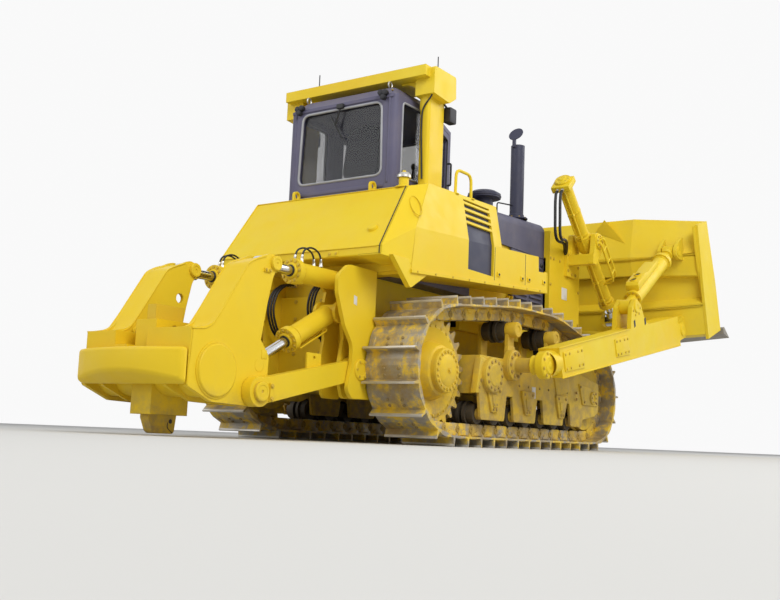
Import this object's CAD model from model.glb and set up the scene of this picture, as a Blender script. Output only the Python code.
# Looks of the crawler bulldozer: materials, small fittings, light and the photograph's view.
# Metres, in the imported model's frame: X forward, Y to the left, Z up, origin on the ground.
# Fittings are laid out in millimetres from the axis of the drive sprockets, as the part is.
from math import asin, atan2, cos, dist, exp, hypot, pi, radians, sin

import bpy
import bmesh
from mathutils import Matrix, Vector


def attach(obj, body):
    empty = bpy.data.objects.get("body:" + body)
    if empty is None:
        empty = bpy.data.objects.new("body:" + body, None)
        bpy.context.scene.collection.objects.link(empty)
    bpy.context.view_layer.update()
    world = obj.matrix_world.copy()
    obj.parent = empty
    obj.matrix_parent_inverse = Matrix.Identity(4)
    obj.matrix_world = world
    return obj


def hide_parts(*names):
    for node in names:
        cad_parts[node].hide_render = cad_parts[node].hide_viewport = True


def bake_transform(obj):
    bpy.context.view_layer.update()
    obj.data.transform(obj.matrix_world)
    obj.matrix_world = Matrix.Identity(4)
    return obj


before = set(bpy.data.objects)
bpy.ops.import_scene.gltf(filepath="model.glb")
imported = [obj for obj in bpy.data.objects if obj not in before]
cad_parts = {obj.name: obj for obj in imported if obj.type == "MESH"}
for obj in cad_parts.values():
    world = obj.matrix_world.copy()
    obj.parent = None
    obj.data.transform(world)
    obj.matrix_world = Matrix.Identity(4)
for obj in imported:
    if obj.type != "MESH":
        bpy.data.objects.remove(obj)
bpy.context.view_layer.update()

# The photograph's view
CAMERA_PLACE = (-10.358, -6.646, 0.06)
CAMERA_YAW = 35.17          # from +X towards +Y
CAMERA_PITCH = 7.75
CAMERA_ROLL = 2.32
SENSOR_WIDTH = 36.0
FOCAL_PIXELS = 1013.69
PHOTO_WIDTH = 780

# Colours, linear
YELLOW = (0.82, 0.565, 0.018)
YELLOW_PALE = (0.82, 0.63, 0.03)
GREY = (0.078, 0.077, 0.124)
GREY_PALE = (0.112, 0.110, 0.172)
CAB_GREY = (0.110, 0.105, 0.170)
CAB_GREY_PALE = (0.138, 0.132, 0.205)
SOIL = (0.34, 0.24, 0.10)
SOIL_PALE = (0.42, 0.31, 0.15)
BARE_STEEL = (0.34, 0.31, 0.26)
BLACK = (0.012, 0.012, 0.013)

# The part's own measures that the fittings follow, in millimetres
ORIGIN_X = -1815.198        # where the frame's origin lies from the sprocket axis
TRUNNION = (1300.0, 900.0)
BLADE_RAISE = 18.5
GAUGE = 2260.0
SHOE_COUNT = 39
PIN_TO_SHOE = 75.0
PIN_TO_RAIL = 60.0
SHOE_THICKNESS = 20.0
PIN_TO_GROUND = 180.0
SPROCKET_ROLL = 565.0
IDLER_ROLL = 508.0
WHEELBASE = 3480.0
CARRIER_XS = (1370.0, 2330.0)
CARRIER_PIN = 1462.0
CARRIER_ROLL = 165.4
CARRIER_Z = 1296.6
RAIL_OUTER = 108.0
ROLLER_FIRST = 760.0
ROLLER_LAST = 2950.0
ROLLER_Z = 350.0
FRAME_HALF = 190.0
GUARD_THICK = 32.0
PIVOT_X = 860.0
HUB_REACH = 1345.0
CENTRE_HALF = 1180.0
WING_END = 2080.0
WING_SWEEP = 330.0
BRACE_Y = 1745.0
LIFT_Y = 980.0
BRACE_FOOT = (3820.0, 1040.0)
BRACE_LUG = (5600.0, 1480.0)
LIFT_LUG = (5140.0, 630.0)
ARM_END = (5430.0, 385.0)
ARM_FACE = 1874.0
YOKE = (4050.0, 2800.0)
STACK = (2960.0, -500.0)
CLEANER = (2200.0, -450.0)
ARM_PIN = (-700.0, 700.0)
LIFT_PIN = (-830.0, 1251.0)
TILT_PIN = (-760.0, 1574.0)
HITCH_PIN = (-2050.0, 408.0)
LIFT_EYE = (-1970.0, 640.0)
TILT_EYE = (-1830.0, 1565.0)
CYLINDER_Y = 505.0
TILT_GLAND = 687.0
LIFT_GLAND = 723.0
BARREL_RADIUS = 96.0
GLAND_PROUD = 26.0
BRACKET_FACE = -500.0
EAR_INNER = 370.0
EAR_OUTER_FACE = 810.0
ARM_OUTER_FACE = 755.0
BEAM_HALF = 650.0
BEAM_TUBE = (-2490.0, 558.0)
BEAM_REAR = -2805.0
SHANK_PIN = (-2490.0, 905.0)
SHANK_FRONT = -2330.0
SHANK_HALF = 52.0
SHANK_TIP = 20.0
POCKET_HALF = 125.0
ROD_RADIUS = 46.0
SMOOTH_ANGLE = 0.6          # radians between faces that are still shaded smooth

# Directions and sides
OUT = (0, 1, 0)
IN = (0, -1, 0)
UP = (0, 0, 1)
REAR = (-1, 0, 0)
SIDES = (("left", 1), ("right", -1))

# Outlines of turned fittings: (radius, height) in millimetres
HOSE_NUT = [(20, 0), (20, 16), (16, 20), (16, 48), (12, 52)]
PIN_RING = [(54, 0), (50, 8), (0, 8)]
BARREL_BAND = [(86, -4), (104, 0), (104, 22), (86, 30)]

# Light: name, place, target, size, power, colour
WHITE = (1.0, 1.0, 1.0)
LAMPS = (
    ("key", (-9.0, -13.0, 13.0), (0.0, 0.0, 1.5), 9.0, 2050.0, (1.0, 0.985, 0.95)),
    ("fill", (-13.0, 7.0, 8.0), (0.0, 0.0, 1.5), 9.0, 480.0, WHITE),
    ("front", (10.0, -9.0, 9.0), (2.0, 0.0, 1.5), 8.0, 650.0, WHITE),
)
SKY_COLOUR = (0.97, 0.975, 0.98)
SKY_STRENGTH = 0.44
BACKDROP_STRENGTH = 0.95    # what the camera and mirror reflections see
FLOOR_SHADE = 0.62
FLOOR_HALF = 60.0


# Node helpers

def new_material(name):
    material = bpy.data.materials.new(name)
    material.use_nodes = True
    tree = material.node_tree
    return material, tree, tree.nodes["Principled BSDF"]


def add_node(tree, kind, **values):
    node = tree.nodes.new(kind)
    for key, value in values.items():
        if key in node.inputs:
            node.inputs[key].default_value = value
        else:
            setattr(node, key, value)
    return node


def object_place(tree):
    return add_node(tree, "ShaderNodeTexCoord").outputs["Object"]


def noise(tree, scale, detail=4.0, roughness=0.55):
    node = add_node(tree, "ShaderNodeTexNoise", Scale=scale, Detail=detail, Roughness=roughness)
    tree.links.new(object_place(tree), node.inputs["Vector"])
    return node.outputs["Fac"]


def ramp(tree, factor, low, high, from_value=0.0, to_value=1.0):
    """Maps a factor between low and high to a value, clamped."""
    limits = {"From Min": low, "From Max": high, "To Min": from_value, "To Max": to_value}
    node = add_node(tree, "ShaderNodeMapRange", **limits)
    tree.links.new(factor, node.inputs["Value"])
    return node.outputs["Result"]


def multiply(tree, first, second):
    node = add_node(tree, "ShaderNodeMath", operation="MULTIPLY")
    tree.links.new(first, node.inputs[0])
    if isinstance(second, float):
        node.inputs[1].default_value = second
    else:
        tree.links.new(second, node.inputs[1])
    return node.outputs[0]


def mix(tree, factor, first, second):
    """Mixes two colours, each a triple or a socket."""
    node = add_node(tree, "ShaderNodeMix", data_type="RGBA")
    tree.links.new(factor, node.inputs["Factor"])
    for socket, value in ((node.inputs[6], first), (node.inputs[7], second)):
        if isinstance(value, tuple):
            socket.default_value = (*value, 1.0)
        else:
            tree.links.new(value, socket)
    return node.outputs[2]


def rounded_normal(tree, radius):
    """Normals that look rounded where two faces meet at an edge."""
    return add_node(tree, "ShaderNodeBevel", samples=4, Radius=radius).outputs["Normal"]


def bump(tree, shader, height, strength, distance, edge=0.0):
    node = add_node(tree, "ShaderNodeBump", Strength=strength, Distance=distance)
    if edge > 0:
        tree.links.new(rounded_normal(tree, edge), node.inputs["Normal"])
    tree.links.new(height, node.inputs["Height"])
    tree.links.new(node.outputs["Normal"], shader.inputs["Normal"])


# Materials

def paint(name, base, pale, dirt=0.25, rough=0.38, soil_from=None, soil_to=None):
    """Enamel paint: slight fading, fine dust, and soil that thins out with height."""
    material, tree, shader = new_material(name)
    colour = mix(tree, ramp(tree, noise(tree, 0.7), 0.35, 0.7), base, pale)
    dust = ramp(tree, noise(tree, 3.1, 8.0, 0.65), 0.50, 0.78, 0.0, dirt)
    colour = mix(tree, dust, colour, SOIL_PALE)
    if soil_from is not None:
        split = add_node(tree, "ShaderNodeSeparateXYZ")
        tree.links.new(object_place(tree), split.inputs[0])
        height = ramp(tree, split.outputs["Z"], soil_to, soil_from)
        patches = ramp(tree, noise(tree, 6.0, 9.0, 0.7), 0.40, 0.62)
        colour = mix(tree, multiply(tree, height, patches), colour, SOIL)
    tree.links.new(colour, shader.inputs["Base Color"])
    shader.inputs["Specular IOR Level"].default_value = 0.2
    roughness = ramp(tree, noise(tree, 5.0, 6.0), 0.3, 0.7, rough - 0.06, rough + 0.14)
    tree.links.new(roughness, shader.inputs["Roughness"])
    bump(tree, shader, noise(tree, 2.2, 3.0), 0.06, 0.01, 0.008)
    return material


def worn_paint(name, base, share, soil_share):
    """Paint that rubs off to steel on edges and carries soil in patches."""
    material, tree, shader = new_material(name)
    patches = ramp(tree, noise(tree, 5.0, 10.0, 0.72), 0.5 - share * 0.25, 0.62 - share * 0.25)
    colour = mix(tree, patches, base, BARE_STEEL)
    soil = ramp(tree, noise(tree, 3.0, 9.0, 0.68), 0.62 - soil_share * 0.3, 0.80 - soil_share * 0.3)
    colour = mix(tree, soil, colour, SOIL)
    tree.links.new(colour, shader.inputs["Base Color"])
    tree.links.new(ramp(tree, patches, 0.0, 1.0, 0.55, 0.42), shader.inputs["Roughness"])
    tree.links.new(multiply(tree, patches, 0.5), shader.inputs["Metallic"])
    bump(tree, shader, noise(tree, 28.0, 6.0), 0.25, 0.006, 0.006)
    return material


def plain_metal(name, colour, rough, metallic, grain=20.0, strength=0.1):
    material, tree, shader = new_material(name)
    shade = mix(tree, ramp(tree, noise(tree, 4.0, 6.0), 0.35, 0.7), colour, tuple(c * 0.7 for c in colour))
    tree.links.new(shade, shader.inputs["Base Color"])
    shader.inputs["Metallic"].default_value = metallic
    tree.links.new(ramp(tree, noise(tree, 7.0), 0.3, 0.7, rough, rough + 0.12), shader.inputs["Roughness"])
    bump(tree, shader, noise(tree, grain), strength, 0.002)
    return material


def plain_material(name, colour, rough, alpha=1.0):
    material, _, shader = new_material(name)
    shader.inputs["Base Color"].default_value = (*colour, 1.0)
    shader.inputs["Roughness"].default_value = rough
    shader.inputs["Alpha"].default_value = alpha
    return material


def glass_material():
    return plain_material("glass", (0.02, 0.022, 0.030), 0.04, 0.30)


def fabric_material():
    material, tree, shader = new_material("seat_fabric")
    weave = add_node(tree, "ShaderNodeTexWave", Scale=26.0)
    tree.links.new(object_place(tree), weave.inputs["Vector"])
    shade = mix(tree, weave.outputs["Fac"], (0.018, 0.018, 0.02), (0.035, 0.035, 0.038))
    tree.links.new(shade, shader.inputs["Base Color"])
    shader.inputs["Roughness"].default_value = 0.85
    bump(tree, shader, weave.outputs["Fac"], 0.2, 0.001)
    return material


# Name, colour, faded colour, dust, roughness, height of clean paint, height of full soil
PAINTS = {
    "paint": ("yellow_paint", YELLOW, YELLOW_PALE, 0.06),
    "paint_low": ("yellow_paint_low", YELLOW, YELLOW_PALE, 0.30, 0.46, 0.3, 1.5),
    "blade": ("yellow_paint_blade", (0.82, 0.59, 0.025), (0.84, 0.66, 0.05), 0.16, 0.5),
    "ripper": ("yellow_paint_ripper", (0.80, 0.54, 0.016), (0.82, 0.60, 0.028), 0.08, 0.42, 0.0, 0.45),
    "shank": ("yellow_paint_shank", (0.70, 0.46, 0.02), (0.74, 0.53, 0.05), 0.30, 0.5, 0.0, 0.7),
    "frame": ("yellow_paint_frame", (0.66, 0.43, 0.025), (0.70, 0.50, 0.06), 0.30, 0.5, 0.2, 1.3),
    "hub": ("yellow_paint_hub", (0.78, 0.52, 0.02), (0.80, 0.58, 0.05), 0.28, 0.45, 0.1, 1.0),
    "grey": ("grey_paint", GREY, GREY_PALE, 0.08, 0.42),
    "cab": ("grey_paint_cab", CAB_GREY, CAB_GREY_PALE, 0.08, 0.42),
    "stack": ("grey_paint_stack", (0.044, 0.047, 0.080), (0.060, 0.062, 0.098), 0.04, 0.42),
}

# Name, colour, roughness, metal, size and strength of the grain
METALS = {
    "rail": ("chain_steel", (0.46, 0.31, 0.06), 0.6, 0.2, 40.0, 0.3),
    "roller": ("roller_steel", (0.085, 0.068, 0.045), 0.6, 0.3, 40.0, 0.3),
    "tips": ("worn_grouser_tips", (0.66, 0.63, 0.57), 0.38, 0.6, 40.0, 0.15),
    "steel": ("bare_steel", BARE_STEEL, 0.42, 0.7),
    "silver": ("zinc_fittings", (0.62, 0.61, 0.57), 0.28, 0.9, 50.0, 0.05),
    "bolt": ("bolt_heads", (0.70, 0.48, 0.035), 0.42, 0.1, 50.0, 0.1),
    "bolt_worn": ("worn_bolt_heads", (0.46, 0.31, 0.08), 0.55, 0.3, 50.0, 0.2),
    "shoe_bolt": ("shoe_bolt_heads", (0.36, 0.27, 0.12), 0.6, 0.3, 50.0, 0.3),
    "white": ("blank_white_plate", (0.80, 0.80, 0.78), 0.4, 0.0, 50.0, 0.02),
    "seal": ("window_seal", (0.42, 0.43, 0.46), 0.6, 0.0, 50.0, 0.05),
    "dark": ("dark_steel", (0.028, 0.028, 0.034), 0.5, 0.3),
    "black": ("black_rubber", BLACK, 0.5, 0.0),
    "chrome": ("chrome", (0.70, 0.71, 0.72), 0.10, 1.0, 60.0, 0.02),
}

MATERIALS = {look: paint(*values) for look, values in PAINTS.items()}
MATERIALS.update({look: plain_metal(*values) for look, values in METALS.items()})
MATERIALS["shoes"] = worn_paint("worn_shoes", (0.74, 0.51, 0.045), 0.30, 0.50)
MATERIALS["links"] = worn_paint("worn_links", (0.76, 0.51, 0.03), 0.10, 0.62)
MATERIALS["glass"] = glass_material()
MATERIALS["seat"] = fabric_material()

# Nodes that aren't named here have the yellow paint. Left and right ones share a look.
NODE_LOOKS = {
    "paint_low": ("main_frame",),
    "blade": ("blade", "blade_end_plates"),
    "hub": ("final_drive",),
    "ripper": ("ripper_bracket", "ripper_arms", "ripper_beam", "ripper_push_pad", "ripper_tilt_barrels",
               "ripper_lift_barrels"),
    "shank": ("ripper_shank", "ripper_shank_pin", "ripper_pins"),
    "grey": ("hood", "engine_door"),
    "cab": ("cab_shell", "cab_base", "cab_door"),
    "stack": ("exhaust_stack", "air_cleaner", "side_vents"),
    "frame": ("track_frame", "idler"),
    "roller": ("track_rollers", "carrier_rollers"),
    "shoes": ("track",),
    "steel": ("cutting_edge",),
    "links": ("sprocket",),
    "dark": ("radiator_core", "radiator_grille", "engine_block"),
    "chrome": ("blade_lift_rods", "ripper_tilt_rods", "ripper_lift_rods"),
    "silver": ("fuel_cap",),
    "black": ("ripper_tilt_hoses", "rear_hoses"),
    "seat": ("cab_seat",),
}


def dress_nodes():
    looks = {node: look for look, nodes in NODE_LOOKS.items() for node in nodes}
    for name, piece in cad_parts.items():
        plain_name = name.removesuffix("_left").removesuffix("_right")
        material = MATERIALS[looks.get(plain_name, "paint")]
        for slot in piece.material_slots:
            slot.material = material


# Mesh kit. Places are given in millimetres from the axis of the drive sprockets.

def at(x, y, z):
    return Vector(((x + ORIGIN_X) / 1000, y / 1000, z / 1000))


def spot(place):
    """A place in the frame as it is, or one in millimetres brought into the frame."""
    return place if isinstance(place, Vector) else at(*place)


def sideways(y):
    return Vector((0, y / 1000, 0))


def add_object(name, data):
    added = bpy.data.objects.new(name, data)
    bpy.context.scene.collection.objects.link(added)
    return added


def smooth_mesh(name, source):
    """Moves a mesh under construction into a named one that is shaded smooth."""
    mesh = bpy.data.meshes.new(name)
    source.to_mesh(mesh)
    source.free()
    mesh.polygons.foreach_set("use_smooth", [True] * len(mesh.polygons))
    return mesh


def round_edges(mesh, edges, size, segments=2, profile=0.6):
    bmesh.ops.bevel(mesh, geom=edges, offset=size, segments=segments, profile=profile, affect="EDGES",
                    clamp_overlap=True)


def frame_of(axis):
    """Rotation that turns Z onto the axis."""
    return Vector(axis).normalized().to_track_quat("Z", "Y").to_matrix()


class Kit:
    """Collects shapes of one finish that ride on one body."""

    def __init__(self, name, look, body="root"):
        self.mesh = bmesh.new()
        self.name = name
        self.look = look
        self.body = body

    def lathe(self, place, axis, profile, steps=20):
        """Turned shape: profile is (radius, height) in millimetres along the axis."""
        turn = frame_of(axis)
        place = spot(place)
        rings = []
        for radius, height in profile:
            if radius < 1e-6:
                rings.append([self.mesh.verts.new(place + turn @ Vector((0, 0, height / 1000)))])
                continue
            ring = []
            for k in range(steps):
                a = 2 * pi * k / steps
                local = Vector((radius * cos(a), radius * sin(a), height)) / 1000
                ring.append(self.mesh.verts.new(place + turn @ local))
            rings.append(ring)
        for low, high in zip(rings, rings[1:]):
            for k in range(steps):
                m = (k + 1) % steps
                if len(low) == 1:
                    corners = (low[0], high[m], high[k])
                elif len(high) == 1:
                    corners = (low[k], low[m], high[0])
                else:
                    corners = (low[k], low[m], high[m], high[k])
                self.mesh.faces.new(corners)

    def bolt(self, place, axis, size, washer=True):
        """Hexagon head on a washer."""
        base = 0.0
        if washer:
            self.lathe(place, axis, [(size * 1.5, -1), (size * 1.5, size * 0.2), (0, size * 0.2)], 14)
            base = size * 0.2
        top = base + size * 0.75
        self.lathe(place, axis,
                   [(size * 1.12, base - 1), (size * 1.12, top - size * 0.15), (size * 0.92, top), (0, top)], 6)

    def bolt_ring(self, place, axis, radius, count, size, start=0.0):
        turn = frame_of(axis)
        centre = spot(place)
        for k in range(count):
            a = radians(start + 360 * k / count)
            self.bolt(centre + turn @ Vector((radius * cos(a), radius * sin(a), 0)) / 1000, axis, size)

    def prism(self, outline, near, far, bevel=4.0):
        """Solid between two copies of an outline of points, with its edges rounded."""
        part = bmesh.new()
        first = [part.verts.new(near(p)) for p in outline]
        second = [part.verts.new(far(p)) for p in outline]
        count = len(outline)
        part.faces.new(first)
        part.faces.new(list(reversed(second)))
        for k in range(count):
            m = (k + 1) % count
            part.faces.new((first[m], first[k], second[k], second[m]))
        bmesh.ops.recalc_face_normals(part, faces=part.faces)
        if bevel > 0:
            round_edges(part, list(part.edges), bevel / 1000)
        self.take(part)

    def slab(self, corners, y0, y1, bevel):
        """Solid between two places across the machine; its outline's points are in metres."""
        self.prism(corners, lambda p: p + sideways(y0), lambda p: p + sideways(y1), bevel)

    def pyramid(self, corners, tip):
        part = bmesh.new()
        base = [part.verts.new(p) for p in corners]
        top = part.verts.new(tip)
        part.faces.new(base)
        for first, second in zip(base, base[1:] + base[:1]):
            part.faces.new((first, second, top))
        bmesh.ops.recalc_face_normals(part, faces=part.faces)
        round_edges(part, list(part.edges), 0.004)
        self.take(part)

    def take(self, part):
        copies = {v: self.mesh.verts.new(v.co) for v in part.verts}
        for face in part.faces:
            self.mesh.faces.new([copies[v] for v in face.verts])
        part.free()

    def plate_y(self, outline, y0, y1, bevel=4.0):
        self.prism(outline, lambda p: at(p[0], y0, p[1]), lambda p: at(p[0], y1, p[1]), bevel)

    def plate_x(self, outline, x0, x1, bevel=4.0):
        self.prism(outline, lambda p: at(x0, p[0], p[1]), lambda p: at(x1, p[0], p[1]), bevel)

    def plate_z(self, outline, z0, z1, bevel=4.0):
        self.prism(outline, lambda p: at(p[0], p[1], z0), lambda p: at(p[0], p[1], z1), bevel)

    def block(self, x0, x1, y0, y1, z0, z1, bevel=4.0):
        self.plate_y([(x0, z0), (x1, z0), (x1, z1), (x0, z1)], y0, y1, bevel)

    def tube(self, points, radius, steps=10, bend=60.0):
        """Round bar along straight runs with rounded corners."""
        line = rounded_line([spot(point) for point in points], bend / 1000)
        side = None
        rings = []
        for k, here in enumerate(line):
            before = line[max(k - 1, 0)]
            after = line[min(k + 1, len(line) - 1)]
            along = (after - before).normalized()
            if side is None:
                side = along.orthogonal().normalized()
            side = (side - along * side.dot(along)).normalized()
            other = along.cross(side)
            ring = []
            for j in range(steps):
                a = 2 * pi * j / steps
                spoke = side * cos(a) + other * sin(a)
                ring.append(self.mesh.verts.new(here + spoke * radius / 1000))
            rings.append(ring)
        for low, high in zip(rings, rings[1:]):
            for j in range(steps):
                m = (j + 1) % steps
                self.mesh.faces.new((low[j], low[m], high[m], high[j]))
        self.mesh.faces.new(list(reversed(rings[0])))
        self.mesh.faces.new(rings[-1])

    def mirror(self):
        """Adds the same shapes on the other side of the machine."""
        copy = self.mesh.copy()
        bmesh.ops.scale(copy, vec=(1, -1, 1), verts=copy.verts)
        bmesh.ops.reverse_faces(copy, faces=copy.faces)
        self.take(copy)

    def turned(self, pivot, degrees):
        """Turns all shapes about a Y axis through the pivot, nose up for a positive angle."""
        rotation = Matrix.Rotation(radians(-degrees), 3, "Y")
        bmesh.ops.rotate(self.mesh, cent=pivot, matrix=rotation, verts=self.mesh.verts)

    def done(self):
        bmesh.ops.recalc_face_normals(self.mesh, faces=self.mesh.faces)
        mesh = smooth_mesh(self.name, self.mesh)
        mesh.set_sharp_from_angle(angle=SMOOTH_ANGLE)
        mesh.materials.append(MATERIALS[self.look])
        piece = add_object(self.name, mesh)
        if self.body:
            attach(piece, self.body)
        return piece

    def pair(self):
        """Makes the piece with its mirror copy on the other side."""
        self.mirror()
        return self.done()


def rounded_line(points, bend):
    """Points of a line whose corners are replaced by arcs."""
    line = [points[0]]
    for before, corner, after in zip(points, points[1:], points[2:]):
        back = before - corner
        ahead = after - corner
        reach = min(bend, back.length * 0.45, ahead.length * 0.45)
        enter = corner + back.normalized() * reach
        leave = corner + ahead.normalized() * reach
        for k in range(6):
            t = k / 5.0
            line.append(enter * (1 - t) ** 2 + corner * 2 * t * (1 - t) + leave * t ** 2)
    line.append(points[-1])
    return line


def around(radius, profile):
    """Profile of a ring whose radii are given as how far they stand off a barrel or rod."""
    return [(radius + proud, height) for proud, height in profile]


def make(*kits):
    for kit in kits:
        kit.done()


def make_pairs(*kits):
    for kit in kits:
        kit.pair()


class Axis:
    """The centre line of a cylinder, from its foot to its eye."""

    def __init__(self, foot, eye, y, side=1):
        self.start = at(foot[0], y, foot[1])
        reach = at(eye[0], y, eye[1]) - self.start
        self.length = reach.length * 1000
        self.along = reach.normalized()
        self.up = Vector((-self.along.z, 0, self.along.x)) * side

    def place(self, s, h=0.0, y=0.0):
        """A place given in millimetres along the line, off it and across the machine."""
        return self.start + self.along * s / 1000 + self.up * h / 1000 + sideways(y)


def rounded_copy(node, radius):
    """The node's own solid with its edges rounded off."""
    mesh = bmesh.new()
    mesh.from_mesh(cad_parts[node].data)
    bmesh.ops.remove_doubles(mesh, verts=mesh.verts, dist=0.0002)
    bmesh.ops.dissolve_limit(mesh, angle_limit=0.02, verts=mesh.verts, edges=mesh.edges)
    sharp = [edge for edge in mesh.edges if len(edge.link_faces) == 2 and edge.calc_face_angle() > 0.35]
    round_edges(mesh, sharp, radius, 5, 0.5)
    name = node + "_rounded"
    return add_object(name, smooth_mesh(name, mesh))


# Ripper

def cylinder_fittings(name, pin, eye, gland, ports):
    """Gland bolts, collars, ports and wipers of one pair of ripper cylinders."""
    line = Axis(pin, eye, CYLINDER_Y)
    body = name + "_barrels"
    bolts = Kit(name + "_gland_bolts", "bolt", body)
    radius = (BARREL_RADIUS + GLAND_PROUD + ROD_RADIUS * 1.15) / 2 + 14
    bolts.bolt_ring(line.place(gland), line.along, radius, 12, 12)
    trim = Kit(name + "_trim", "ripper", body)
    trim.lathe(line.place(gland - 1), line.along,
               around(ROD_RADIUS, ((2, 0), (30, 0), (30, 10), (22, 18), (2, 18))), 32)
    trim.lathe(line.place(gland - 112), line.along,
               around(BARREL_RADIUS, ((-2, -6), (9, 0), (10, 16), (-2, 22))), 36)
    for s in ports:
        trim.lathe(line.place(s, BARREL_RADIUS - 12), line.up, [(34, 0), (34, 18), (28, 26), (0, 26)], 20)
    wiper = Kit(name + "_wipers", "black", body)
    wiper.lathe(line.place(gland), line.along,
                around(ROD_RADIUS, ((1.5, 0), (13, 0), (10, 24), (1.5, 24))), 32)
    make_pairs(bolts, trim, wiper)


def ripper_cylinders():
    """Fittings of the tilt and lift cylinders, and the feed pipes on the lift barrels."""
    cylinder_fittings("ripper_tilt", TILT_PIN, TILT_EYE, TILT_GLAND, (560,))
    cylinder_fittings("ripper_lift", LIFT_PIN, LIFT_EYE, LIFT_GLAND, (600, 160))
    pipes = Kit("ripper_lift_pipes", "ripper", "ripper_lift_barrels")
    line = Axis(LIFT_PIN, LIFT_EYE, CYLINDER_Y)
    for y in (-30, 30):
        pipes.tube([line.place(s, h, y) for s, h in ((160, 100), (160, 128), (600, 128), (600, 100))], 9, 10, 25)
    pipes.pair()


def hose_ends():
    """Silver hexagon fittings of the hoses on the tilt barrels and behind the bracket."""
    tilt = Kit("tilt_hose_fittings", "silver", "ripper_tilt_barrels")
    for offset, lag in ((-34, 0), (34, 22)):
        line = Axis(TILT_PIN, TILT_EYE, CYLINDER_Y + offset, -1)
        for s, lean in ((600, 0.12), (315, -0.12)):
            foot = line.place(s - lag, BARREL_RADIUS - 4)
            tilt.lathe(foot, line.up, [(17, 0), (17, 14), (14, 18), (14, 44), (12, 46)], 6)
            tilt.lathe(foot + line.up * 0.040, line.up - line.along * lean,
                       [(11.5, 0), (13.5, 3), (13.5, 34), (11, 38)], 16)
    rear = Kit("rear_hose_fittings", "silver")
    for y in (225, 262, 299):
        rear.lathe((BRACKET_FACE - 1, y, 1600), REAR, HOSE_NUT, 6)
        rear.lathe((BRACKET_FACE - 60, y, 1000), (-1, 0, 0.1), HOSE_NUT, 6)
    make_pairs(tilt, rear)


def arm_fittings():
    """Heads of the hitch pins and the bolts of their keepers."""
    x, z = HITCH_PIN
    heads = Kit("hitch_pin_heads", "ripper", "ripper_pins")
    heads.lathe((x, ARM_OUTER_FACE + 20, z), OUT,
                [(84, 0), (84, 6), (78, 13), (58, 13), (55, 9), (16, 9), (12, 0), (0, 0)], 40)
    bolts = Kit("hitch_keeper_bolts", "bolt", "ripper_arms")
    for dz in (-55, 55):
        bolts.bolt((x + 127, ARM_OUTER_FACE + 20, z + dz), OUT, 15)
    make_pairs(heads, bolts)


def beam_welds():
    """Weld beads round the beam's tube ends, along its towers and on its rear edge."""
    weld = Kit("beam_welds", "ripper", "ripper_beam")
    x, z = BEAM_TUBE
    weld.tube([(x + 226 * cos(radians(a)), BEAM_HALF + 3, z + 230 * sin(radians(a))) for a in range(0, 361, 12)],
              9, 8, 1)
    weld.lathe((x, BEAM_HALF - 1, z), OUT, [(220, 0), (220, 20), (210, 27), (0, 27)], 64)
    tower = ((-2790, 880), (-2640, 893), (-2560, 935), (-2460, 1075), (-2175, 1512), (-2080, 1565), (-1960, 1608))
    for y in (EAR_INNER - 1, BEAM_HALF + 1):
        weld.tube([(px, y, pz) for px, pz in tower], 7, 8, 40)
    weld.tube([(BEAM_REAR, BEAM_HALF - 1, height) for height in (420, 725)], 8, 8)
    weld.pair()


def beam_fittings():
    """Pin keepers and bolts on the beam's towers, and the push pad with rounded edges."""
    keeper = Kit("beam_keepers", "ripper", "ripper_beam")
    ex, ez = TILT_EYE
    for y, sign in ((BEAM_HALF + 15, 1), (EAR_INNER - 15, -1)):
        keeper.lathe((ex, y, ez), (0, sign, 0),
                     [(66, -2), (66, 8), (60, 14), (40, 14), (36, 10), (8, 10), (8, 4), (0, 4)], 36)
    lx, lz = LIFT_EYE
    keeper.lathe((lx, EAR_INNER + 1, lz), IN, [(62, 0), (62, 8), (56, 14), (0, 14)], 36)
    keeper.lathe((lx, BEAM_HALF - 1, lz), OUT, [(56, 0), (56, 3), (0, 3)], 36)
    keeper.block(ex - 150, ex - 60, BEAM_HALF - 1, BEAM_HALF + 15, ez - 95, ez - 62, 4)
    keeper.block(lx + 20, lx + 90, BEAM_HALF - 1, BEAM_HALF + 3, lz + 62, lz + 140, 1)
    bolts = Kit("beam_bolts", "bolt", "ripper_beam")
    for dx in (-130, -80):
        bolts.bolt((ex + dx, BEAM_HALF + 15, ez - 78), OUT, 11)
    for x in (-2300, -2360, -2420):
        bolts.bolt((x, EAR_INNER - 1, 1010), IN, 10)
    make_pairs(keeper, bolts)

    pad = rounded_copy("ripper_push_pad", 0.055)
    pad.data.materials.clear()
    pad.data.materials.append(MATERIALS["ripper"])
    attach(pad, "ripper_beam")
    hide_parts("ripper_push_pad")


def shank_fittings():
    """Collars of the pin puller, and the hole and groove at the shank's tip."""
    puller = Kit("pin_puller_trim", "ripper", "ripper_beam")
    x, z = SHANK_PIN
    for y, wide in ((POCKET_HALF + 36, 56), (EAR_INNER - 40, 54)):
        puller.lathe((x, y, z), OUT, [(42, 0), (wide, 4), (wide, 22), (42, 26)], 30)
    hole = Kit("shank_hole", "dark", "ripper_beam")
    for sign in (1, -1):
        hole.lathe((SHANK_FRONT - 70, sign * (SHANK_HALF + 0.4), SHANK_TIP + 105), (0, sign, 0),
                   [(20, 0), (20, 0.8), (0, 0.8)], 24)
        y = sign * (SHANK_HALF + 0.5)
        hole.tube([(SHANK_FRONT + dx, y, SHANK_TIP + dz) for dx, dz in ((-100, 95), (-105, 50), (-40, 8))],
                  3.5, 8, 30)
    make(puller, hole)


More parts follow.
